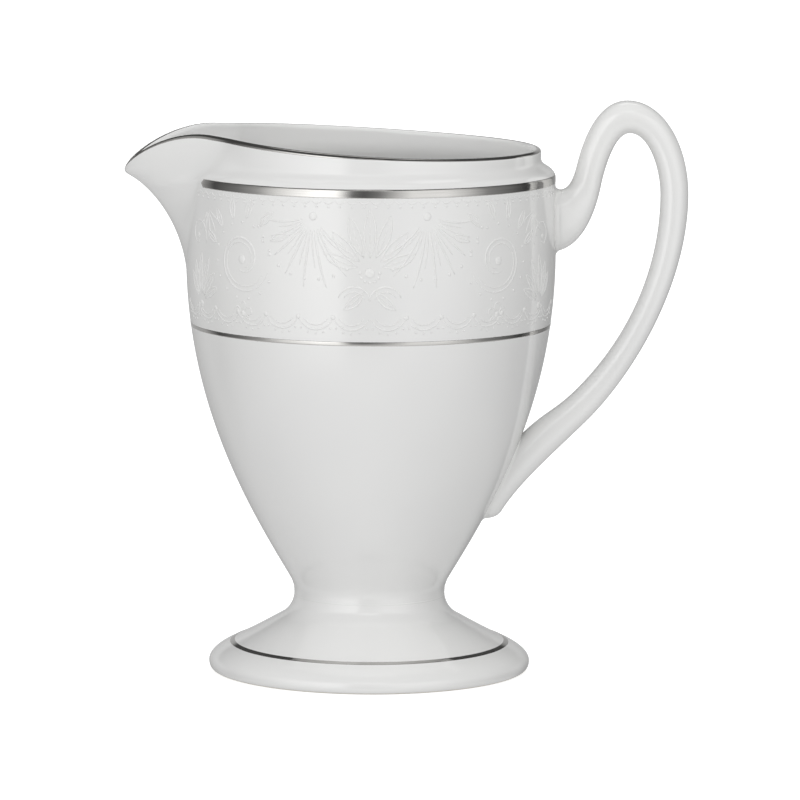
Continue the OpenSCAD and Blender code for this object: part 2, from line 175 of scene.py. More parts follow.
FLARE_DIR = np.array([math.cos(LINE_SLOPE), -math.sin(LINE_SLOPE)])
outline = chain(
    bez([FOOT_RING_R, 0], [FOOT_RING_R + 0.8, 0], [FOOT_R, 0.7], [FOOT_R, 1.8], 12),
    bez([FOOT_R, 1.8], [FOOT_R, 3.4], FOOT_LINE + 3 * FLARE_DIR, FOOT_LINE, 20),
    bez(FOOT_LINE, FOOT_LINE - 3.4 * FLARE_DIR,
        waist_at(-FLARE_LEAN) + 2 * leaning(FLARE_LEAN, -1), waist_at(-FLARE_LEAN), 30),
    np.array([waist_at(a) for a in np.linspace(-FLARE_LEAN, WALL_LEAN, 40)]),
    bez(waist_at(WALL_LEAN), waist_at(WALL_LEAN) + 18.6 * leaning(WALL_LEAN, 1),
        [BOWL_R, WIDEST_Z - 33.4], [BOWL_R, WIDEST_Z], 90),
    bez([BOWL_R, WIDEST_Z], [BOWL_R, 98], [BOWL_R - 0.15, 104], [BOWL_R - 0.2, SHOULDER_Z - 0.8], 24),
    bez([BOWL_R - 0.2, SHOULDER_Z - 0.8], [BOWL_R - 0.4, SHOULDER_Z + 1.6],
        [COLLAR_R + 0.4, SHOULDER_Z + 1.2], [COLLAR_R, COLLAR_Z], 30),
    bez([COLLAR_R, COLLAR_Z], [COLLAR_R, 116], [COLLAR_R, 120], [COLLAR_R, ABOVE_RIM_Z], 8))
outline_slope = np.gradient(outline[:, 0]) / np.gradient(outline[:, 1])


def out_r(z):
    """The outside radius at a height."""
    return np.interp(z, outline[:, 1], outline[:, 0])


def out_normal(z):
    """The outward normal of the outside at a height, as its radial and its upward part."""
    slope = np.interp(z, outline[:, 1], outline_slope)
    length = np.sqrt(1 + slope ** 2)
    return 1 / length, -slope / length


def stretch(z0, z1, n):
    """The outline between two heights, evenly spaced along its length."""
    z = np.linspace(z0, z1, 400)
    return resample(np.stack([out_r(z), z], 1), n)


IN_TOP_R = COLLAR_R - LIP_WALL
inner_low = stretch(29, WIDEST_Z, 80)
inner_low = inner_low + BOWL_WALL * left_normals(inner_low)
inner_low[-1] = [BOWL_R - BOWL_WALL, WIDEST_Z]
inner_outline = chain(
    bez([0, BOWL_FLOOR_Z], [9, BOWL_FLOOR_Z],
        inner_low[0] - 7 * unit(inner_low[1] - inner_low[0]), inner_low[0], 30),
    inner_low,
    bez([BOWL_R - BOWL_WALL, WIDEST_Z], [BOWL_R - BOWL_WALL, 99], [BOWL_R - BOWL_WALL, 102],
        [BOWL_R - BOWL_WALL - 0.1, SHOULDER_Z - 5], 16),
    bez([BOWL_R - BOWL_WALL - 0.1, SHOULDER_Z - 5], [BOWL_R - BOWL_WALL - 0.2, SHOULDER_Z],
        [IN_TOP_R, SHOULDER_Z - 0.4], [IN_TOP_R, COLLAR_Z + 1], 26),
    np.array([[IN_TOP_R, COLLAR_Z + 1], [IN_TOP_R, ABOVE_RIM_Z]]))


def in_r(z):
    """The inside radius at a height."""
    return np.interp(z, inner_outline[:, 1], inner_outline[:, 0])


# ---- the rim's height, which depends on x alone ----
def rim_z(x):
    x = np.asarray(x, float)
    behind = np.clip((COLLAR_R - x) / (COLLAR_R - CREST_X), 0, 1)
    back = RIM_BACK_Z + (RIM_CREST_Z - RIM_BACK_Z) * behind ** BACK_FALL
    v = np.clip((CREST_X - x) / (CREST_X + SPOUT_REACH), 0, 1)
    slope = BACK_FALL * (RIM_CREST_Z - RIM_BACK_Z) / (COLLAR_R - CREST_X)
    front = (RIM_CREST_Z + slope * np.maximum(CREST_X - x, 0) * (1 - v) ** 2
             - (RIM_CREST_Z - SPOUT_TIP_Z) * (1 - (1 - v ** BEAK_LEVEL) ** BEAK_ROUND))
    return np.where(x > CREST_X, back, front)


# ---- the seam between bowl and spout, and the spout's keel; q runs from 0 at the toe to the rim ----
SEAM_SHOULDER = np.array([16.6, SHOULDER_Z + 0.8])
SEAM_TURN = 9
SEAM_END = 13
RIM_SEAM_X = -math.sqrt(COLLAR_R ** 2 - NOTCH_HALF_W ** 2)
SEAM_TOP_Z = float(rim_z(RIM_SEAM_X))


def seam_at(q):
    """Half-width and height of the seam."""
    low = bez_at([0, NOTCH_Z], [5.2, NOTCH_Z + 1.9], [12.5, 102.5], SEAM_SHOULDER, min(q / SEAM_TURN, 1))
    high = bez_at(SEAM_SHOULDER, SEAM_SHOULDER + [1.2, 2.6], [NOTCH_HALF_W - 0.6, SEAM_TOP_Z - 3.2],
                  [NOTCH_HALF_W, SEAM_TOP_Z], max(0, (q - SEAM_TURN) / (SEAM_END - SEAM_TURN)))
    return low if q <= SEAM_TURN else high


KEEL_BEND = np.array([SPOUT_REACH - 1.7, SPOUT_TIP_Z - 2.4])
KEEL_TURN = 10


def keel_at(q):
    """Reach and height of the spout's front edge."""
    if q <= KEEL_TURN:
        return bez_at([out_r(NOTCH_Z), NOTCH_Z], [41.4, NOTCH_Z + 7.2], [45.4, 104.7], KEEL_BEND,
                      q / KEEL_TURN)
    return bez_at(KEEL_BEND, KEEL_BEND + [1.1, 0.8], [SPOUT_REACH, SPOUT_TIP_Z - 1],
                  [SPOUT_REACH, SPOUT_TIP_Z], (q - KEEL_TURN) / (SEAM_END - KEEL_TURN))


SEAM_ROWS = 50
COLLAR_ROWS = 14
q_rows = np.concatenate([np.linspace(0, SEAM_TURN, SEAM_ROWS + 1),
                         np.linspace(SEAM_TURN, SEAM_END, COLLAR_ROWS + 1)[1:]])
keel_line = np.array([keel_at(q) for q in q_rows])
keel_walls = np.interp(q_rows, [0, 2, SEAM_TURN, SEAM_END], [BOWL_WALL, SPOUT_WALL, SPOUT_WALL, LIP_WALL])
keel_inside = keel_line + keel_walls[:, None] * left_normals(keel_line)
keel_inside[-1, 1] = SPOUT_TIP_Z
seam_line = np.array([seam_at(q) for q in q_rows])

# Shares of the way from the seam to the keel, close together near the seam
SPOUT_COLS = 26
KEEL_FLAT = 0.22
SEAM_STRAIGHT = 0.2
to_keel = np.linspace(0, 1, SPOUT_COLS + 1) ** 1.8


def spout_half_row(j, inside):
    """Points from the seam to the keel on the +Y side of row j."""
    q = q_rows[j]
    w, z = seam_line[j]
    r = in_r(z) if inside else out_r(z)
    seam = np.array([-math.sqrt(r * r - w * w), w])
    reach, keel_z = (keel_inside if inside else keel_line)[j]
    if j == 0:
        reach, keel_z = r, z
    keel = np.array([-reach, 0.0])
    lean = max(0.0, (q - SEAM_TURN) / (SEAM_END - SEAM_TURN)) ** 2
    along = unit([-seam[1], seam[0]])
    d = unit((1 - lean) * unit(keel - seam) + lean * along)
    straight = SEAM_STRAIGHT * np.linalg.norm(keel - seam)
    t = (1 - to_keel)[:, None]
    plan = bez_at(keel, [keel[0], w * KEEL_FLAT], seam + straight * d, seam, t)
    z_row = keel_z + (z - keel_z) * t[:, 0] ** 2
    return np.column_stack([plan, z_row])


def spout_rows(inside):
    """All rows, with the last ones raised to the rim, which is a lip's radius below the crest of the lip."""
    rows = np.array([spout_half_row(j, inside) for j in range(len(q_rows))])
    top_plan_x = spout_half_row(len(q_rows) - 1, False)[:, 0]
    rise = rim_z(top_plan_x) - LIP_R - rows[-1][:, 2]
    share = np.clip((q_rows - SEAM_TURN) / (SEAM_END - SEAM_TURN), 0, 1) ** 1.6
    rows[:, :, 2] += share[:, None] * rise[None, :]
    return rows


# ---- the bowl's columns: close together near the seam, even elsewhere ----
NEAR_COLS = 14
HALF_COLS = 112
near = 0.12 * np.arange(NEAR_COLS) + 0.03 * np.arange(NEAR_COLS) ** 2


def bowl_angles(notch_angle):
    """Angles from -X, from the seam on the +Y side to the back of the bowl."""
    close = notch_angle + near / BOWL_R
    far = np.linspace(close[-1], math.pi, HALF_COLS - NEAR_COLS + 2)[1:]
    return np.concatenate([close, far])


def bowl_half_row(r, z, w, share=0.0):
    """A row from the seam to the back on the +Y side, which climbs by share towards the rim."""
    a = bowl_angles(math.asin(min(1, w / r)) if r > 1 else 0.0)
    x, y = -r * np.cos(a), r * np.sin(a)
    height = z + share * (rim_z(-COLLAR_R * np.cos(a)) - LIP_R - z)
    return np.column_stack([x, y, height])


def wall_rows(inside):
    """The bowl's half rows beside the spout, from the toe of the notch to the rim."""
    radius = in_r if inside else out_r
    rows = []
    top = SEAM_TOP_Z - LIP_R
    base = seam_line[SEAM_ROWS][1]
    for j, (w, z) in enumerate(seam_line):
        if j <= SEAM_ROWS:
            rows.append(bowl_half_row(float(radius(z)), z, w))
        else:
            share = (z - base) / (SEAM_TOP_Z - base)
            row = bowl_half_row(float(radius(z)), base, w, share)
            r = radius(row[:, 2])
            a = bowl_angles(math.asin(w / float(radius(base + share * (top - base)))))
            row[:, 0], row[:, 1] = -r * np.cos(a), r * np.sin(a)
            rows.append(row)
    return np.array(rows)


SOFT_REACH = 3.4
SOFT_SPREAD = 0.85
SETTLE_REACH = 4.5
SETTLE_PASSES = 60


def soften(rows):
    """Rounds the crease at the seam: each row is averaged along its length, most strongly at the seam."""
    out = rows.copy()
    offsets = np.linspace(-2, 2, 13)
    weights = np.exp(-offsets ** 2 / 2)
    weights /= weights.sum()
    for j, row in enumerate(rows):
        steps = np.concatenate([[0], np.cumsum(np.linalg.norm(np.diff(row, axis=0), axis=1))])
        s = steps - steps[HALF_COLS]
        limit = min(SOFT_REACH, 0.7 * (steps[-1] - steps[HALF_COLS]))
        if limit < 0.2:
            continue
        for k in np.nonzero(np.abs(s) < limit)[0]:
            sigma = SOFT_SPREAD * limit / SOFT_REACH * (1 - (s[k] / limit) ** 2) ** 2
            at = s[k] + offsets * sigma
            out[j, k] = [weights @ np.interp(at, s, row[:, axis]) for axis in range(3)]
    return out


def settle(rows):
    """Evens out the hollow where the collar runs into the spout, from the shoulder band to the lip."""
    out = rows.copy()
    steps = np.cumsum(np.linalg.norm(np.diff(rows, axis=1, prepend=rows[:, :1]), axis=2), axis=1)
    from_seam = steps - steps[:, HALF_COLS: HALF_COLS + 1]
    height = rows[:, :, 2]
    share = smoothstep((height - SHOULDER_Z - 0.1) / 1.2) * smoothstep((rows[-1, :, 2] - height) / 2.5)
    share = (share * np.exp(-(from_seam / SETTLE_REACH) ** 2))[1:-1, 1:-1, None]
    for _ in range(SETTLE_PASSES):
        mean = (out[:-2, 1:-1] + out[2:, 1:-1] + out[1:-1, :-2] + out[1:-1, 2:]) / 4
        out[1:-1, 1:-1] += share * (mean - out[1:-1, 1:-1])
    return out


def half_grid(inside):
    """Rows run from the toe to the rim, columns from the back of the bowl over the seam to the keel."""
    bowl = wall_rows(inside)[:, ::-1]
    spout = spout_rows(inside)
    bowl[-1, :, 2] = rim_z(bowl[-1, :, 0] * COLLAR_R / np.linalg.norm(bowl[-1, :, :2], axis=1)) - LIP_R
    bowl[:, -1] = spout[:, 0]
    return settle(soften(np.concatenate([bowl, spout[:, 1:]], axis=1)))


outer_wall = half_grid(False)
inner_wall = half_grid(True)

# The rounded lip, from the outer wall over the crest to the inner wall
LIP_STEPS = 12
lip_turn = np.linspace(0, math.pi, LIP_STEPS + 1)[1:-1]
lip_mid = (outer_wall[-1] + inner_wall[-1]) / 2
lip_half = (outer_wall[-1] - inner_wall[-1]) / 2
lip_half[:, 2] = 0
lip_mid[:, 2] = outer_wall[-1][:, 2]
lip_rows = np.array([lip_mid + math.cos(a) * lip_half + [0, 0, LIP_R * math.sin(a)] for a in lip_turn])
inner_wall[-1][:, 2] = outer_wall[-1][:, 2]


def full_loops(half_rows):
    """Mirrors half rows into whole ones, from the back, round the +Y side, over the keel and home."""
    mirrored = half_rows[:, -2:0:-1] * [1, -1, 1]
    return np.concatenate([half_rows, mirrored], axis=1)


LOW_ROWS = 46


def low_rows(radii_heights):
    """Half rows below the notch. The columns that belong to the spout higher up lie together at -X."""
    rows = []
    for r, z in radii_heights:
        row = bowl_half_row(r, z, 0.0)[::-1]
        rows.append(np.concatenate([row, np.repeat(row[-1:], SPOUT_COLS, axis=0)]))
    return np.array(rows)


low_outer = low_rows(stretch(BOWL_BASE_Z, NOTCH_Z, LOW_ROWS)[:-1])
floor_line = inner_outline[inner_outline[:, 1] <= NOTCH_Z]
floor_line = np.vstack([floor_line, [[in_r(NOTCH_Z), NOTCH_Z]]])
low_inner = low_rows(resample(floor_line, LOW_ROWS)[-2::-1])

vessel = full_loops(np.concatenate([low_outer, outer_wall, lip_rows, inner_wall[::-1], low_inner]))
TOE_ROW = len(low_outer)
TOP_ROW = TOE_ROW + len(q_rows) - 1
INNER_TOP = TOP_ROW + len(lip_rows) + 1
INNER_TOE = INNER_TOP + len(q_rows) - 1
LOOP = vessel.shape[1]


# ---- meshes ----
def weld(points, faces):
    """Joins points that coincide. Gives the points, each old one's new number, and the faces left."""
    _, first, index = np.unique(np.round(points, 4), axis=0, return_index=True, return_inverse=True)
    index = index.reshape(-1)
    kept = []
    for face in faces:
        ids = [int(i) for i in index[list(face)]]
        ids = [v for k, v in enumerate(ids) if v != ids[k - 1]]
        kept.append(ids if len(ids) > 2 and len(set(ids)) == len(ids) else None)
    return points[first], index, kept


def vertex_normals(points, faces):
    total = np.zeros_like(points)
    for face in faces:
        p = points[face]
        n = np.cross(p[1] - p[0], p[2] - p[0])
        if len(face) == 4:
            n = n + np.cross(p[2] - p[0], p[3] - p[0])
        for v in face:
            total[v] += n
    return unit(total)


def add_piece(name, points, faces, materials, nodes, normals=None, flat=(), face_material=None):
    """A mesh piece in metres that rides on the jug's one body. flat holds hidden faces, shaded flat."""
    used = sorted({v for face in list(faces) + list(flat) for v in face})
    number = {v: i for i, v in enumerate(used)}
    mesh = bpy.data.meshes.new(name)
    every = [[number[v] for v in face] for face in list(faces) + list(flat)]
    mesh.from_pydata((np.asarray(points)[used] * MM).tolist(), [], every)
    mesh.polygons.foreach_set("use_smooth", [True] * len(every))
    for material in materials:
        mesh.materials.append(material)
    if face_material is not None:
        mesh.polygons.foreach_set("material_index", list(face_material) + [0] * len(flat))
    mesh.update()
    if flat:
        rims = {tuple(sorted((number[face[k - 1]], number[face[k]])))
                for face in flat for k in range(len(face))}
        sharp = [tuple(sorted(edge.vertices)) in rims for edge in mesh.edges]
        mesh.edges.foreach_set("use_edge_sharp", sharp)
    if normals is not None:
        per_loop = np.asarray(normals)[used][np.concatenate(every)]
        flat_normals = np.empty(len(every) * 3)
        mesh.polygons.foreach_get("normal", flat_normals)
        owner = np.repeat(np.arange(len(every)), [len(face) for face in every])
        hidden = owner >= len(faces)
        per_loop[hidden] = flat_normals.reshape(-1, 3)[owner[hidden]]
        mesh.normals_split_custom_set(per_loop.tolist())
    obj = bpy.data.objects.new(name, mesh)
    bpy.context.scene.collection.objects.link(obj)
    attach(obj, "root")
    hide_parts(*nodes)


def grid_faces(rows, cols, looped=False, base=0):
    """Faces between the rows of a grid whose rows are closed; looped joins the last row to the first."""
    faces = []
    for j in range(rows if looped else rows - 1):
        here, after = base + j * cols, base + (j + 1) % rows * cols
        for i in range(cols):
            k = (i + 1) % cols
            faces.append((here + i, here + k, after + k, after + i))
    return faces


def inside_out(faces):
    """The same faces, seen from the other side."""
    return [face[::-1] for face in faces]


# ---- materials ----
def colour_ramp(tree, factor, stops):
    """Adds a node that turns a factor into colours; stops are pairs of position and colour."""
    made = tree.nodes.new("ShaderNodeValToRGB")
    elements = made.color_ramp.elements
    while len(elements) < len(stops):
        elements.new(0.5)
    for element, (position, colour) in zip(elements, stops):
        element.position = position
        element.color = (*colour, 1)
    tree.links.new(factor, made.inputs["Fac"])
    return made.outputs["Color"]


class Nodes:
    """A new material with a principled shader, and short calls that add nodes to it."""

    def __init__(self, name):
        self.material = bpy.data.materials.new(name)
        self.material.use_nodes = True
        self.tree = self.material.node_tree
        self.shader = self.tree.nodes["Principled BSDF"]
        self.place = self.tree.nodes.new("ShaderNodeTexCoord").outputs["Object"]

    def set(self, **values):
        for name, value in values.items():
            self.shader.inputs[name.replace("_", " ")].default_value = value

    def link(self, output, socket):
        self.tree.links.new(output, self.shader.inputs[socket])

    def noise(self, scale, detail=3.0, stretch_by=(1, 1, 1)):
        """Noise between 0 and 1; scale is in features to a metre."""
        mapping = self.tree.nodes.new("ShaderNodeMapping")
        mapping.inputs["Scale"].default_value = stretch_by
        self.tree.links.new(self.place, mapping.inputs["Vector"])
        node = self.tree.nodes.new("ShaderNodeTexNoise")
        node.inputs["Scale"].default_value = scale
        node.inputs["Detail"].default_value = detail
        self.tree.links.new(mapping.outputs["Vector"], node.inputs["Vector"])
        return node.outputs["Fac"]

    def between(self, factor, low, high):
        """A value from low to high as noise goes from weak to strong."""
        node = self.tree.nodes.new("ShaderNodeMapRange")
        for name, value in (("From Min", 0.3), ("From Max", 0.7), ("To Min", low), ("To Max", high)):
            node.inputs[name].default_value = value
        self.tree.links.new(factor, node.inputs["Value"])
        return node.outputs["Result"]

    def bump(self, layers):
        """Adds bumps of (height, depth in metres), finest first."""
        normal = None
        for height, depth in layers:
            node = self.tree.nodes.new("ShaderNodeBump")
            node.inputs["Strength"].default_value = 1.0
            node.inputs["Distance"].default_value = depth
            self.tree.links.new(height, node.inputs["Height"])
            if normal is not None:
                self.tree.links.new(normal, node.inputs["Normal"])
            normal = node.outputs["Normal"]
        self.link(normal, "Normal")


def surface(name, colour_noise, stops, rough_noise, roughness, bumps, **values):
    """A material whose colour, roughness and bump come from noise; values go straight to the shader."""
    m = Nodes(name)
    m.set(**values)
    m.link(colour_ramp(m.tree, m.noise(*colour_noise), stops), "Base Color")
    m.link(m.between(m.noise(*rough_noise), *roughness), "Roughness")
    m.bump([(m.noise(*noise), depth) for noise, depth in bumps])
    return m.material


def glaze(name, body, deep):
    """Clear glaze over white china: faintly uneven, and a shade darker where it lies thicker."""
    return surface(name, (22, 2), [(0.35, deep), (0.65, body)], (160, 3), (0.07, 0.12),
                   [((2600, 2), 0.0000012), ((90, 2), 0.000012)],
                   IOR=1.53, Coat_Weight=0.35, Coat_Roughness=0.03, Coat_IOR=1.5)


china = glaze("glazed_china", (0.80, 0.80, 0.79), (0.775, 0.775, 0.77))
slip = glaze("glazed_slip", (0.795, 0.795, 0.783), (0.77, 0.77, 0.763))
# Fired platinum: a thin mirror film laid with a brush, so it is streaked round the jug
STREAKS = (700, 4, (0.12, 0.12, 5))
metal = surface("platinum", STREAKS, [(0.3, (0.58, 0.57, 0.55)), (0.7, (0.66, 0.65, 0.63))],
                STREAKS, (0.05, 0.13), [((3000, 2, (0.15, 0.15, 4)), 0.0000015), ((300, 2), 0.000006)],
                Metallic=1.0)
# Raised white enamel: satin, with a fine grain and softer edges than the glaze under it
white = surface("white_enamel", (900, 3), [(0.35, (0.795, 0.795, 0.785)), (0.65, (0.815, 0.815, 0.808))],
                (1500, 3), (0.2, 0.3), [((5200, 3), 0.000004), ((1400, 2), 0.00001)],
                IOR=1.5, Sheen_Weight=0.05)
# The unglazed ground ring, wiped clean of glaze before firing: matt, grainy and a little warm
bare = surface("biscuit_china", (800, 5), [(0.3, (0.66, 0.63, 0.57)), (0.7, (0.76, 0.735, 0.68))],
               (2000, 3), (0.75, 0.95), [((4200, 4), 0.00002), ((900, 3), 0.00003)], IOR=1.45)

# ---- bowl, spout and the joint between them ----
grid_points = vessel.reshape(-1, 3)
points, ids, welded = weld(grid_points, grid_faces(len(vessel), LOOP))
ids = ids.reshape(len(vessel), LOOP)
normals = vertex_normals(points, [face for face in welded if face])
for row in range(3):
    radial, upward = out_normal(vessel[row][0][2])
    plan = unit(vessel[row][:, :2])
    normals[ids[row]] = np.column_stack([plan * radial, np.full(LOOP, upward)])

JOINT_COLS = 5
FAR_SEAM = LOOP - HALF_COLS


def part_of(row, col):
    """Which piece a face of the vessel belongs to."""
    if row < TOE_ROW or row >= INNER_TOE:
        return "bowl"
    if min(abs(col + 0.5 - HALF_COLS), abs(col + 0.5 - FAR_SEAM)) < JOINT_COLS:
        return "spout_joint"
    return "spout" if HALF_COLS < col < FAR_SEAM else "bowl"


shell = {"bowl": [], "spout": [], "spout_joint": []}
for number, face in enumerate(welded):
    if face:
        shell[part_of(number // LOOP, number % LOOP)].append(face)


def wall_edge(path, flip):
    """Hidden faces across the wall along a path of (row, column) on the outside, and over the lip."""
    faces = []
    for (r0, c0), (r1, c1) in zip(path, path[1:]):
        inner_r0, inner_r1 = TOP_ROW + INNER_TOP - r0, TOP_ROW + INNER_TOP - r1
        face = [int(v) for v in (ids[r0, c0], ids[r1, c1], ids[inner_r1, c1], ids[inner_r0, c0])]
        face = [v for k, v in enumerate(face) if v != face[k - 1]]
        if len(set(face)) > 2:
            faces.append(face)
    row, col = path[-1]
    if row == TOP_ROW:
        faces.append([int(ids[r, col]) for r in range(TOP_ROW, INNER_TOP + 1)])
    return inside_out(faces) if flip else faces


def column_path(col):
    return [(row, col) for row in range(TOE_ROW, TOP_ROW + 1)]


def toe_path(first, last):
    return [(TOE_ROW, col % LOOP) for col in range(first, last + 1)]


cut_cols = {
    "bowl": (HALF_COLS - JOINT_COLS, FAR_SEAM + JOINT_COLS),
    "spout": (HALF_COLS + JOINT_COLS, FAR_SEAM - JOINT_COLS)}
edges = {"bowl": [], "spout": [], "spout_joint": []}
for part, (first, second) in cut_cols.items():
    is_bowl = part == "bowl"
    edges[part] += wall_edge(column_path(first), is_bowl)
    edges[part] += wall_edge(column_path(second), not is_bowl)
    edges["spout_joint"] += wall_edge(column_path(first), not is_bowl)
    edges["spout_joint"] += wall_edge(column_path(second), is_bowl)
for first, last in ((HALF_COLS - JOINT_COLS, HALF_COLS), (FAR_SEAM, FAR_SEAM + JOINT_COLS)):
    edges["bowl"] += wall_edge(toe_path(first, last), False)
    edges["spout_joint"] += wall_edge(toe_path(first, last), True)
base_ring = list(dict.fromkeys(int(v) for v in ids[0]))
edges["bowl"].append(base_ring[::-1])

for part, material, slot_name in (("bowl", china, "glazed_china"), ("spout", china, "glazed_china"),
                                  ("spout_joint", slip, "fired_slip")):
    add_piece(part + "_visual", points, shell[part], [material], [part], normals, edges[part])

# ---- foot, its joint, and rings laid on the outline ----
ROUND = 180


def around(profile):
    """Turns (radius, height) pairs round the axis, ROUND steps to the turn, from -X."""
    a = np.radians(np.linspace(0, 360, ROUND, endpoint=False))
    r, z = profile[:, :1], profile[:, 1:]
    return np.stack([-r * np.cos(a), r * np.sin(a), z + 0 * a], 2).reshape(-1, 3)


def end_caps(count, size):
    """Faces that close the first and the last of count rows of a grid wound inside out."""
    return [list(range(size)), list(range(count * size - 1, (count - 1) * size - 1, -1))]


def revolve(node, profile, materials, face_material=None):
    """A solid of revolution, whose normals come from the section; face_material tells the slot of a face."""
    n = unit(np.gradient(profile, axis=0))
    faces = inside_out(grid_faces(len(profile), ROUND))
    materials_of = face_material and [face_material(point) for point in profile[:-1] for _ in range(ROUND)]
    add_piece(node + "_visual", around(profile), faces, materials, [node],
              around(np.stack([n[:, 1], -n[:, 0]], 1)), end_caps(len(profile), ROUND), materials_of)


RING_IN = FOOT_RING_R - FOOT_RING_W
RING_ROUND = 0.5
CEILING_Z = 13.6
foot_profile = chain(
    np.column_stack([np.linspace(0.6, 9, 6), np.full(6, CEILING_Z)]),
    bez([9, CEILING_Z], [15, CEILING_Z], [18.5, 9.2], [24.5, 6.2], 26),
    bez([24.5, 6.2], [28.5, 4.2], [RING_IN - 1.2, 3], [RING_IN - 0.1, RING_ROUND + 0.1], 20),
    bez([RING_IN - 0.1, RING_ROUND + 0.1], [RING_IN, 0.2], [RING_IN + 0.1, 0], [RING_IN + RING_ROUND, 0], 6),
    np.array([[RING_IN + RING_ROUND, 0], [FOOT_RING_R - 0.4, 0], [FOOT_RING_R, 0]]),
    outline[:13],
    stretch(1.8, FOOT_TOP_Z, 84))


def ground_ring(point):
    """1 where the foot stands on the table, wiped clean of glaze, else 0."""
    return int(point[0] > RING_IN - 1 and point[1] < 0.3)


revolve("foot", foot_profile, [china, bare], ground_ring)

joint_z = np.linspace(FOOT_TOP_Z, BOWL_BASE_Z, 9)
bulge = 0.03 * np.sin(np.linspace(0, math.pi, 9))
revolve("foot_joint", np.column_stack([out_r(joint_z) + bulge, joint_z]), [slip])

FILM = 0.045
FILM_EDGE = 0.004
FILM_SUNK = 0.01
FILM_STEPS = 12
RING_STEPS = 288
BAND_GAP = 24.8
# How far a line of platinum stands above the china, across its width: its edges lie just under
film_lift = FILM * (1 - np.abs(np.linspace(-1, 1, FILM_STEPS + 1)) ** 6) - FILM_EDGE


def platinum_ring(node, span, gap_degrees=0.0):
    """A line of platinum round the jug; with a gap, its two ends narrow to a round tip."""
    half, mid = (span[1] - span[0]) / 2, (span[0] + span[1]) / 2
    whole = gap_degrees == 0
    end = 360 - gap_degrees
    rings = []
    for angle in np.linspace(gap_degrees, end, RING_STEPS, endpoint=not whole):
        along = min(angle - gap_degrees, end - angle) * math.pi / 180 * BOWL_R
        narrow = 1.0 if whole else math.sqrt(max(0.02, 1 - max(0, 1 - along / half) ** 2))
        wobble = 1 + 0.02 * math.sin(math.radians(angle * 5)) * math.sin(math.radians(angle * 13 + 40))
        strip = stretch(mid - half * narrow * wobble, mid + half * narrow * wobble, FILM_STEPS)
        outward = np.column_stack(out_normal(strip[:, 1]))
        section = np.concatenate([strip + outward * film_lift[:, None], (strip - outward * FILM_SUNK)[::-1]])
        c, s = math.cos(math.radians(angle)), math.sin(math.radians(angle))
        rings.append(np.column_stack([-section[:, 0] * c, section[:, 0] * s, section[:, 1]]))
    size = len(section)
    last = (RING_STEPS - 1) * size
    caps = [] if whole else [list(range(size))[::-1], list(range(last, last + size))]
    add_piece(node + "_visual", np.concatenate(rings), grid_faces(RING_STEPS, size, looped=whole) + caps,
              [metal], [node])


platinum_ring("shoulder_band", BAND_SPAN, BAND_GAP)
platinum_ring("body_line", BODY_LINE_SPAN)
platinum_ring("foot_line", FOOT_LINE_SPAN)


# ---- the platinum line over the lip ----
LINE_FIRST = 24
LINE_LAST = 104


def lip_ring():
    """Follows the rounded lip all the way round, from low on its outside to just past its crest."""
    outer, inner = full_loops(outer_wall[-1:])[0], full_loops(inner_wall[-1:])[0]
    half = (outer - inner) / 2
    half[:, 2] = 0
    rings = []
    for m, h in zip((outer + inner) / 2, half):
        reach = np.linalg.norm(h)
        d = h / reach

        def on_lip(degrees, lift):
            a = math.radians(degrees)
            return m + d * (reach + lift) * math.cos(a) + np.array([0, 0, (LIP_R + lift) * math.sin(a)])

        # The line is laid on lower round the beak
        lower = LINE_FIRST * (1 - 0.9 * smoothstep((-d[0] - 0.3) / 0.5))
        turns = np.linspace(lower, LINE_LAST, FILM_STEPS + 1)
        rings.append([on_lip(turn, lift) for turn, lift in zip(turns, film_lift)])
        rings[-1] += [on_lip(turn, -FILM_SUNK) for turn in turns[::-1]]
    faces = [(a, d, c, b) for a, b, c, d in grid_faces(len(rings), len(rings[0]), looped=True)]
    add_piece("rim_line_visual", np.concatenate(rings), faces, [metal], ["rim_line"])


lip_ring()

# ---- the handle ----
ROOT_TOP = np.array([BOWL_R + 0.4, 107.2])
ROOT_LOW = np.array([BOWL_R + 0.4, 93.6])
NECK_OUT, NECK_IN = np.array([45.4, 112.7]), np.array([50.9, 108.9])
CREST_OUT, CREST_IN = np.array([56.5, HANDLE_TOP_Z]), np.array([57, HANDLE_TOP_Z - HANDLE_THICK - 1])
BACK_OUT, BACK_IN = np.array([HANDLE_REACH, 105.9]), np.array([HANDLE_REACH - HANDLE_THICK, 105.9])
ELBOW_OUT, ELBOW_IN = np.array([51.6, 59.6]), np.array([45.3, 62.3])
TAIL_OUT, TAIL_IN = np.array([29.3, 35.4]), np.array([22.5, 37.5])
# Rings of the CAD handle's runs, and how many rings stand here for each
FINE = 3
RINGS = np.array([8, 8, 10, 12, 12, 4]) * FINE
handle_out = chain(
    bez(ROOT_TOP, ROOT_TOP + [1.9, 0], NECK_OUT - [1.1, 4.5], NECK_OUT, RINGS[0]),
    bez(NECK_OUT, NECK_OUT + [1.5, 6.2], CREST_OUT - [6.5, 0], CREST_OUT, RINGS[1]),
    bez(CREST_OUT, CREST_OUT + [8, 0], BACK_OUT + [0, 11.1], BACK_OUT, RINGS[2]),
    bez(BACK_OUT, BACK_OUT - [0, 15.9], ELBOW_OUT + [10.7, 12.9], ELBOW_OUT, RINGS[3]),
    bez(ELBOW_OUT, ELBOW_OUT - [5.4, 6.5], TAIL_OUT + [4.9, 8.1], TAIL_OUT, RINGS[4]),
    bez(TAIL_OUT, TAIL_OUT - [0.7, 1.1], [27.2, 33.8], [25.4, 33.8], RINGS[5]))
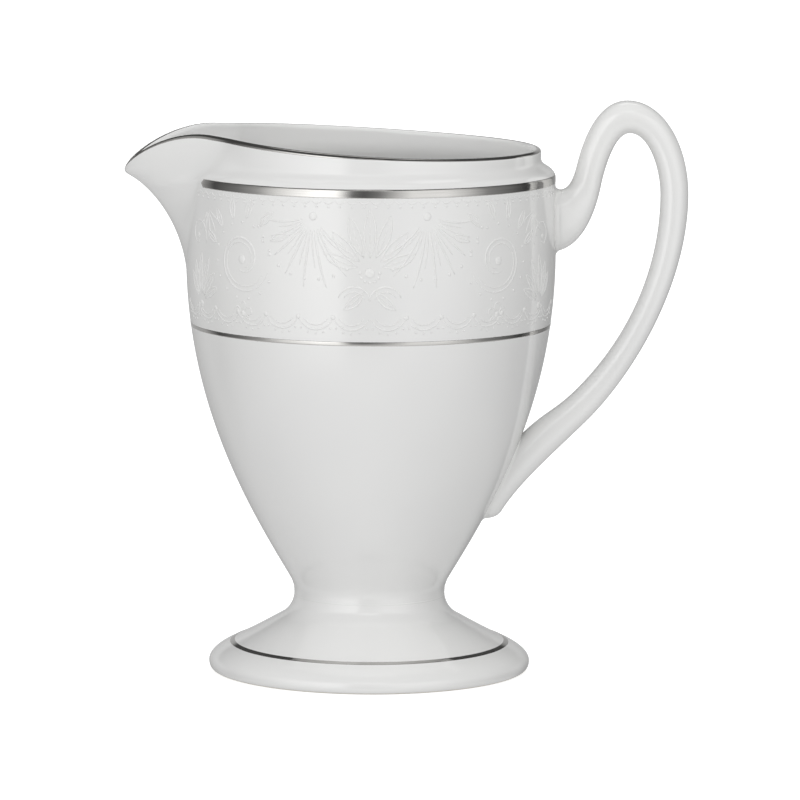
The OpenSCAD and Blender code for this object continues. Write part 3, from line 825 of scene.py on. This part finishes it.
handle_in = chain(
    bez(ROOT_LOW, ROOT_LOW + [5.2, 1.2], NECK_IN - [1.3, 7.4], NECK_IN, RINGS[0]),
    bez(NECK_IN, NECK_IN + [1.1, 4.8], CREST_IN - [3, 0], CREST_IN, RINGS[1]),
    bez(CREST_IN, CREST_IN + [4, 0], BACK_IN + [0, 6.6], BACK_IN, RINGS[2]),
    bez(BACK_IN, BACK_IN - [0, 16], ELBOW_IN + [12.1, 12.1], ELBOW_IN, RINGS[3]),
    bez(ELBOW_IN, ELBOW_IN - [6.9, 6.9], [35, 57.5], TAIL_IN, RINGS[4]),
    bez(TAIL_IN, TAIL_IN - [0.5, 1], [23.4, 34.8], [24.6, 34.4], RINGS[5]))
ring_number = np.arange(len(handle_out)) / FINE
half_widths = np.interp(ring_number, [0, 2, 6, 16, 26, 38, 44, 49, 52, 53.3, 54],
                        [5.2, 4.7, 3.7, 4.1, 3.7, 3.4, 4.2, 4.6, 3.8, 2.6, 1.4])
smoothing = np.hanning(13)[1:-1] / np.hanning(13).sum()
padded_widths = np.concatenate([np.full(5, half_widths[0]), half_widths, np.full(5, half_widths[-1])])
half_widths = np.convolve(padded_widths, smoothing, "valid")
SIDES = 44
ROUNDNESS = 0.88


def squarish(c):
    """Makes a cosine or sine a little fuller, for a section between an oval and a box."""
    return np.sign(c) * np.abs(c) ** ROUNDNESS


def handle_section(i, scale):
    """The ring of points round station i, scaled about its middle."""
    a = np.linspace(0, 2 * math.pi, SIDES, endpoint=False)
    u, v = squarish(np.cos(a)), squarish(np.sin(a))
    mid, half = (handle_out[i] + handle_in[i]) / 2, (handle_out[i] - handle_in[i]) / 2 * scale
    return np.column_stack([mid[0] + half[0] * u, half_widths[i] * scale * v, mid[1] + half[1] * u])


SUNK = 0.25


def clear_of_bowl(section, force):
    """Points inside the wall come out to just under its surface."""
    r = np.linalg.norm(section[:, :2], axis=1)
    to = out_r(section[:, 2]) - SUNK
    inside = (r < to) | force
    section = section.copy()
    section[inside, :2] *= (to / r)[inside][:, None]
    return section


raw_sections = np.array([handle_section(i, 1.0) for i in range(len(handle_out))])
sections = [clear_of_bowl(handle_section(0, s), True) for s in (0.35, 0.7)]
sections += [clear_of_bowl(raw, i == 0) for i, raw in enumerate(raw_sections)]
sections += [clear_of_bowl(handle_section(len(handle_out) - 1, s), False) for s in (0.6, 0.2)]
handle_points = np.array(sections).reshape(-1, 3)
handle_faces = inside_out(grid_faces(len(sections), SIDES))
add_piece("handle_visual", handle_points, handle_faces + end_caps(len(sections), SIDES), [china], ["handle"])


# ---- fillets of slip and glaze where the handle meets the bowl ----
handle_tree = BVHTree.FromPolygons([Vector(p) for p in handle_points], [list(f) for f in handle_faces])


def on_wall(point, lift=0.0):
    """The point moved in or out to the bowl's outside, or lift above it."""
    share = (float(out_r(point[2])) + lift) / np.linalg.norm(point[:2])
    return np.array([point[0] * share, point[1] * share, point[2]])


def wall_normal(point):
    radial, upward = out_normal(point[2])
    plan = unit(point[:2])
    return np.array([plan[0] * radial, plan[1] * radial, upward])


FILLET_STEPS = 7
FILLET_TUCK = 0.01
FILLET_ROOT = 0.2


def fillet(node, contact, wall_reach, handle_reach):
    """A concave strip from the wall to the handle all the way round a closed line of contact."""
    centre = contact.mean(axis=0)
    rings = []
    for k, corner in enumerate(contact):
        wall_n = wall_normal(corner)
        outward = np.cross(unit(contact[(k + 1) % len(contact)] - contact[k - 1]), wall_n)
        outward *= np.sign(outward @ (corner - centre))
        a = on_wall(corner + wall_reach * outward, -FILLET_TUCK)
        near_point = corner + wall_n * handle_reach - outward * 0.15 * handle_reach
        hit = handle_tree.find_nearest(Vector(near_point))
        b = np.array(hit[0]) - FILLET_TUCK * np.array(hit[1])
        t = np.linspace(0, 1, FILLET_STEPS + 1)[:, None]
        curve = (1 - t) ** 2 * a + 2 * t * (1 - t) * corner + t * t * b
        rings.append(np.vstack([curve, corner - wall_n * FILLET_ROOT]))
    faces = grid_faces(len(rings), len(rings[0]), looped=True)
    add_piece(node + "_visual", np.concatenate(rings), faces, [slip], [node])


TAIL_START = 100
CONTACT_POINTS = 96


def contact_with_wall(first_ring):
    """The closed line where the handle's surface passes into the bowl's wall, from ring first_ring on."""
    right = []
    for i in range(first_ring, len(raw_sections)):
        section = raw_sections[i]
        half = section[: SIDES // 2 + 1]
        gap = np.linalg.norm(half[:, :2], axis=1) - out_r(half[:, 2])
        cross = np.nonzero((gap[:-1] > 0) & (gap[1:] <= 0))[0]
        if len(cross):
            k = cross[0]
            share = gap[k] / (gap[k] - gap[k + 1])
            right.append(half[k] + share * (half[k + 1] - half[k]))
    right = np.array(right)
    loop = np.vstack([right, (right * [1, -1, 1])[::-1], right[:1]])
    return resample(loop, CONTACT_POINTS)[:-1]


root_contact = np.array([on_wall(p) for p in clear_of_bowl(raw_sections[0], True)])
fillet("handle_upper_joint", root_contact, 1.1, 1.5)
fillet("handle_lower_joint", contact_with_wall(TAIL_START), 0.9, 1.1)

# ---- raised white lace, drawn on the wall unrolled: s is the arc from the front, z the height ----
BAND_W = 1.9
FRIEZE_TOP = SHOULDER_Z - BAND_W - 1.0
FRIEZE_LOW = BODY_LINE_SPAN[1] + 1.3
LACE_H = 0.11
LACE_SUNK = 0.03
PEARL_SIDES = 12
# Across a strand: share of its half-width and of its height
STRAND_SECTION = ((1.0, None), (0.72, 0.62), (0.0, 1.0), (-0.72, 0.62), (-1.0, None))
# Up a pearl: share of its radius and of its height
PEARL_SECTION = ((1.0, None), (0.9, 0.45), (0.62, 0.82), (0.25, 1.0))


class Lace:
    """Gathers strands and pearls of enamel, then makes one piece of them."""

    def __init__(self):
        self.points, self.faces, self.count = [], [], 0

    def place(self, s, z, h):
        """The point on the wall at arc s and height z, raised by h; None stands for just under the wall."""
        a = s / BOWL_R
        r = out_r(z) + (-LACE_SUNK if h is None else h)
        return np.stack([r * np.sin(a), -r * np.cos(a), z + 0 * r], -1)

    def take(self, rings, first_cap, last_cap):
        """Adds a tube of rings and its two ends."""
        rows, size = rings.shape[:2]
        self.points.append(rings.reshape(-1, 3))
        self.faces += grid_faces(rows, size, base=self.count)
        last = self.count + (rows - 1) * size
        self.faces += [[self.count + i for i in first_cap], [last + i for i in last_cap]]
        self.count += rows * size

    def strand(self, line, width, height=LACE_H, tapered=True):
        line = np.asarray(line, float)
        swell = 0.3 + 0.7 * np.sin(math.pi * np.linspace(0, 1, len(line))) ** 0.6 if tapered else 1.0
        swell = swell * np.ones(len(line))
        half = (width / 2 * swell)[:, None] * left_normals(line)
        rows = []
        for side, lift in STRAND_SECTION:
            p = line + side * half
            rows.append(self.place(p[:, 0], p[:, 1], lift and lift * (height * swell)))
        size = len(rows)
        self.take(np.stack(rows, 1), range(size - 1, -1, -1), range(size))

    def pearl(self, s, z, r, height=LACE_H * 1.3):
        a = np.linspace(0, 2 * math.pi, PEARL_SIDES, endpoint=False)
        rows = [self.place(s + r * share * np.cos(a), z + r * share * np.sin(a), lift and lift * height)
                for share, lift in PEARL_SECTION]
        self.take(np.array(rows), range(PEARL_SIDES - 1, -1, -1), range(PEARL_SIDES))

    def both(self, line, width, **kwargs):
        """A strand, and its mirror image on the other side of the front."""
        line = np.asarray(line, float)
        self.strand(line, width, **kwargs)
        self.strand(line[::-1] * [-1, 1], width, **kwargs)

    def both_pearls(self, s, z, r):
        self.pearl(s, z, r)
        self.pearl(-s, z, r)

    def piece(self, node, half_turn):
        """Makes the mesh; a half turn takes it to the far side of the jug."""
        cloud = np.concatenate(self.points)
        if half_turn:
            cloud = cloud * [-1, -1, 1]
        add_piece(node + "_visual", cloud, self.faces, [white], [node])


def polar(centre, r, degrees):
    a = np.radians(degrees)
    return np.array(centre) + np.stack([r * np.cos(a), r * np.sin(a)], -1)


def arc(centre, r, a0, a1, n=14):
    a = np.linspace(a0, a1, n)
    return polar(centre, np.full(n, r), a)


def spiral(centre, r0, r1, a0, a1, n=40):
    return polar(centre, np.linspace(r0, r1, n), np.linspace(a0, a1, n))


def blade(base, degrees, length, curl, n=9):
    """A curved stroke from base; curl bends it to the left."""
    t = np.linspace(0, 1, n)
    a = np.radians(degrees + curl * t)
    step = length / (n - 1)
    return np.array(base) + np.cumsum(np.stack([np.cos(a), np.sin(a)], 1) * step, axis=0)


def leaf(lace, base, degrees, length, width, curl, mirror=True):
    """A pointed leaf: two bowed sides and a vein."""
    spine = blade(base, degrees, length, curl, 11)
    bow = (np.sin(np.linspace(0, math.pi, 11)) ** 0.9 * width / 2)[:, None] * left_normals(spine)
    draw = lace.both if mirror else lace.strand
    for line in (spine + bow, spine - bow):
        draw(line, 0.42)
    draw(spine[1:-2], 0.3, height=LACE_H * 0.7)


def frieze():
    """A palmette, with a fan of plumes, a scroll and a spray on either side, and two edgings."""
    lace = Lace()
    mid_z = 93.5
    leaf(lace, (0, mid_z + 1.6), 90, 10.5, 2.6, 0, mirror=False)
    for k, angle in enumerate((64, 40, 14)):
        leaf(lace, polar((0, mid_z), 2.0, angle), angle, 9.6 - 0.9 * k, 2.3, 12)
    bud = (0, mid_z - 0.6)
    lace.pearl(*bud, 1.1)
    for k in range(7):
        lace.pearl(*polar(bud, 2.1, 180 + 30 * k), 0.34)
    bow = (3.4, mid_z - 7.2)
    lace.both(arc(bow, 3.6, 20, 172), 0.5)
    lace.both(arc(bow, 2.5, 30, 160), 0.34)
    leaf(lace, (0.9, mid_z - 4.2), -52, 6.0, 1.8, 18)

    # Plumes that fall from a pearl high on either side
    hub = (12.5, FRIEZE_TOP - 3.0)
    lace.both_pearls(*hub, 0.95)
    for k in range(8):
        angle = 232 + 16 * k
        length = 10.5 + 2.2 * math.sin(k * 0.7)
        lace.both(blade(polar(hub, 1.9, angle), angle, length, -26 + 7 * k, 12), 0.5)
        if k < 7:
            lace.both(blade(polar(hub, 2.4, angle + 8), angle + 8, length * 0.62, -26 + 7 * k, 9), 0.32)
    for k in range(9):
        lace.both_pearls(*polar(hub, 13.6, 236 + 14 * k), 0.36)

    # Scrolls with a rosette
    eye = (30.5, 94.6)
    lace.both(spiral(eye, 7.6, 2.4, -160, 290, 56), 0.6)
    lace.both(spiral(eye, 6.5, 1.8, -150, 250, 48), 0.34)
    lace.both_pearls(*eye, 1.0)
    for k in range(14):
        lace.both_pearls(*polar(eye, 8.7 - 0.06 * k, -150 + 24 * k), 0.3)
    for k in range(6):
        angle = 20 + 26 * k
        leaf(lace, polar(eye, 8.6, angle), angle, 4.6, 1.5, 24)
    rosette = (30.5, 82.9)
    for k in range(5):
        lace.both(arc(polar(rosette, 1.75, 90 + 72 * k), 0.85, 0, 300, 12), 0.34)
    lace.both_pearls(*rosette, 0.6)

    # Sprays beside the scrolls, each under a curl
    root = (46.5, 83.5)
    for k in range(6):
        angle = 50 + 19 * k
        leaf(lace, polar(root, 1.6, angle), angle, 9.5 - 1.3 * abs(k - 2.5), 1.7, 14)
    lace.both_pearls(*root, 0.9)
    curl = (47.5, 98.5)
    lace.both(spiral(curl, 4.2, 1.2, 200, -120, 30), 0.5)
    lace.both_pearls(*curl, 0.6)
    for k in range(5):
        lace.both(blade((43.2, 104.6), 200 + 24 * k, 5.2, 20, 8), 0.38)

    # Edgings: small scallops under the shoulder band, and swags with pearls above the body line
    pitch = 2.6
    for k in range(22):
        s = pitch * (k + 0.5)
        lace.both(arc((s, FRIEZE_TOP + 0.9), 1.15, 200, 340, 7), 0.3, height=LACE_H * 0.7)
        lace.both_pearls(s, FRIEZE_TOP - 0.9, 0.24)
    for k in range(7):
        swag = (4.0 + 8.0 * k, FRIEZE_LOW + 5.6)
        lace.both(arc(swag, 4.3, 208, 332, 14), 0.46)
        lace.both(arc(swag, 3.3, 214, 326, 12), 0.3)
        lace.both_pearls(swag[0] + 4.0, FRIEZE_LOW + 4.0, 0.55)
        for t in (-40, -20, 0, 20, 40):
            lace.both_pearls(*polar(swag, 5.2, 270 + t), 0.22)
    return lace


relief = frieze()
relief.piece("relief_front", False)
relief.piece("relief_back", True)


# ---- floor, light and camera ----
FLOOR_R = 0.42
FLOOR_GREY = (0.86, 0.86, 0.86, 1)
FLOOR_GLOW = 0.5


def add_floor():
    """A round pale table top, bright as a light table, that doesn't show from below."""
    mesh = bpy.data.meshes.new("floor")
    a = np.radians(np.arange(0, 360, 3))
    ring = np.column_stack([FLOOR_R * np.cos(a), FLOOR_R * np.sin(a), 0 * a])
    mesh.from_pydata(ring.tolist(), [], [list(range(len(ring)))])
    floor = bpy.data.objects.new("floor", mesh)
    bpy.context.scene.collection.objects.link(floor)
    m = Nodes("pale_floor")
    m.set(Base_Color=FLOOR_GREY, Roughness=1.0, Specular_IOR_Level=0.0, Emission_Color=(1, 1, 1, 1),
          Emission_Strength=FLOOR_GLOW)
    tree = m.tree
    clear = tree.nodes.new("ShaderNodeBsdfTransparent")
    side = tree.nodes.new("ShaderNodeNewGeometry")
    blend = tree.nodes.new("ShaderNodeMixShader")
    tree.links.new(side.outputs["Backfacing"], blend.inputs[0])
    tree.links.new(m.shader.outputs[0], blend.inputs[1])
    tree.links.new(clear.outputs[0], blend.inputs[2])
    tree.links.new(blend.outputs[0], tree.nodes["Material Output"].inputs["Surface"])
    mesh.materials.append(m.material)
    # The light that a table would throw back is already in the studio
    floor.visible_diffuse = False
    floor.visible_glossy = False


# Light from each side, by degrees from the front: -90 is the spout's side, 90 the handle's.
# At the jug's own height stand two tall soft boxes, with dark gaps between them that the bands reflect
LEVEL_RING = [(-180, 0.42), (-133, 0.42), (-115, 0.08), (-92, 0.20), (-75, 0.40), (-60, 0.92), (-32, 1.62),
              (-21, 1.50), (-12, 0.20), (-4, 0.10), (5, 0.22), (26, 1.0), (48, 1.0), (62, 0.70), (78, 0.28),
              (97, 0.16), (113, 0.05), (133, 0.28), (150, 0.20), (180, 0.42)]
WALL_RING = [(-180, 1.00), (-155, 0.85), (-130, 0.48), (-90, 0.75), (-60, 1.07), (-35, 1.38), (-12, 1.54),
             (12, 1.52), (35, 1.32), (60, 1.02), (90, 0.70), (130, 0.50), (155, 0.85), (180, 1.00)]
FLOOR_RING = [(-180, 0.60), (-90, 0.54), (-45, 0.74), (0, 0.84), (90, 0.58), (180, 0.60)]
CEILING = 0.80
# What the gloss sees overhead: black cloth, with a small window in front and a strip light behind
BLACK = 0.06
FRONT_WINDOW = [(-180, BLACK), (-17, BLACK), (-12, 1.5), (12, 1.5), (17, BLACK), (180, BLACK)]
BACK_STRIP = [(-180, 1.1), (-150, 1.1), (-140, BLACK), (140, BLACK), (150, 1.1), (180, 1.1)]
# What the camera sees behind the jug, and the brightest value on any ring
SEEN = 1.2
BRIGHTEST = 1.7
STUDIO_STRENGTH = 1.9


def add_world():
    """A studio drawn as a sky by direction, with a darker ceiling for gloss than for soft light."""
    world = bpy.data.worlds.new("studio")
    bpy.context.scene.world = world
    world.use_nodes = True
    tree = world.node_tree
    background = tree.nodes["Background"]

    def plug(value, socket):
        if isinstance(value, (int, float)):
            socket.default_value = (value, value, value, 1) if socket.type == "RGBA" else value
        else:
            tree.links.new(value, socket)

    def math_node(operation, a, b=0.0):
        made = tree.nodes.new("ShaderNodeMath")
        made.operation = operation
        plug(a, made.inputs[0])
        plug(b, made.inputs[1])
        return made.outputs[0]

    def ramp(factor, stops):
        return colour_ramp(tree, factor, [(position, (grey, grey, grey)) for position, grey in stops])

    def ring(stops):
        return ramp(turn, [((degrees + 180) / 360, light / BRIGHTEST) for degrees, light in stops])

    def rise(first, last):
        """From 0 below one elevation to 1 above another."""
        low, high = (0.5 + 0.5 * math.sin(math.radians(degrees)) for degrees in (first, last))
        return ramp(height, [(0.0, 0.0), (low, 0.0), (high, 1.0), (1.0, 1.0)])

    def mix(factor, low, high):
        made = tree.nodes.new("ShaderNodeMix")
        made.data_type = "RGBA"
        for index, value in ((0, factor), (6, low), (7, high)):
            plug(value, made.inputs[index])
        return made.outputs[2]

    split = tree.nodes.new("ShaderNodeSeparateXYZ")
    tree.links.new(tree.nodes.new("ShaderNodeTexCoord").outputs["Generated"], split.inputs[0])
    across, depth, up = split.outputs
    azimuth = math_node("ARCTAN2", across, math_node("MULTIPLY", depth, -1.0))
    turn = math_node("ADD", math_node("DIVIDE", azimuth, 2 * math.pi), 0.5)
    height = math_node("ADD", math_node("MULTIPLY", up, 0.5), 0.5)

    path = tree.nodes.new("ShaderNodeLightPath")
    level = mix(rise(-30, -18), ring(FLOOR_RING), ring(LEVEL_RING))
    soft = mix(rise(43, 53), mix(rise(7, 14), level, ring(WALL_RING)), CEILING / BRIGHTEST)
    overhead = mix(rise(40, 43), ring(FRONT_WINDOW), BLACK / BRIGHTEST)
    overhead = mix(rise(53, 56), overhead, ring(BACK_STRIP))
    overhead = mix(rise(66, 70), overhead, BLACK / BRIGHTEST)
    no_back_wall = ring([(degrees, BLACK if abs(degrees) > 120 else light) for degrees, light in LEVEL_RING])
    gloss = mix(rise(33, 36), mix(rise(13, 17), level, no_back_wall), overhead)
    lit = mix(path.outputs["Is Glossy Ray"], soft, gloss)
    tree.links.new(mix(path.outputs["Is Camera Ray"], lit, SEEN / BRIGHTEST), background.inputs["Color"])
    background.inputs["Strength"].default_value = STUDIO_STRENGTH


CAMERA_AWAY = 1.3
CAMERA_DOWN = math.radians(7.55)
CAMERA_ROLL = math.radians(0.3)
AIM_ACROSS = -0.0012
AIM_UP = -0.0034
LENS = 265.8
FILM_WIDTH = 36


def add_camera():
    """A long lens, a little above the rim, level with the jug's side."""
    centre = (cad_box[0] + cad_box[1]) / 2
    aim = Vector((centre.x + AIM_ACROSS, 0, centre.z + AIM_UP))
    data = bpy.data.cameras.new("camera")
    data.lens = LENS
    data.sensor_width = FILM_WIDTH
    data.clip_start, data.clip_end = 0.05, 60
    camera = bpy.data.objects.new("camera", data)
    bpy.context.scene.collection.objects.link(camera)
    camera.location = aim + Vector((0, -CAMERA_AWAY, CAMERA_AWAY * math.tan(CAMERA_DOWN)))
    turn = Euler((math.pi / 2 - CAMERA_DOWN, 0, 0)).to_matrix() @ Euler((0, 0, CAMERA_ROLL)).to_matrix()
    camera.rotation_euler = turn.to_euler()
    bpy.context.scene.camera = camera


add_floor()
add_world()
add_camera()
bpy.context.scene.view_settings.view_transform = "Standard"
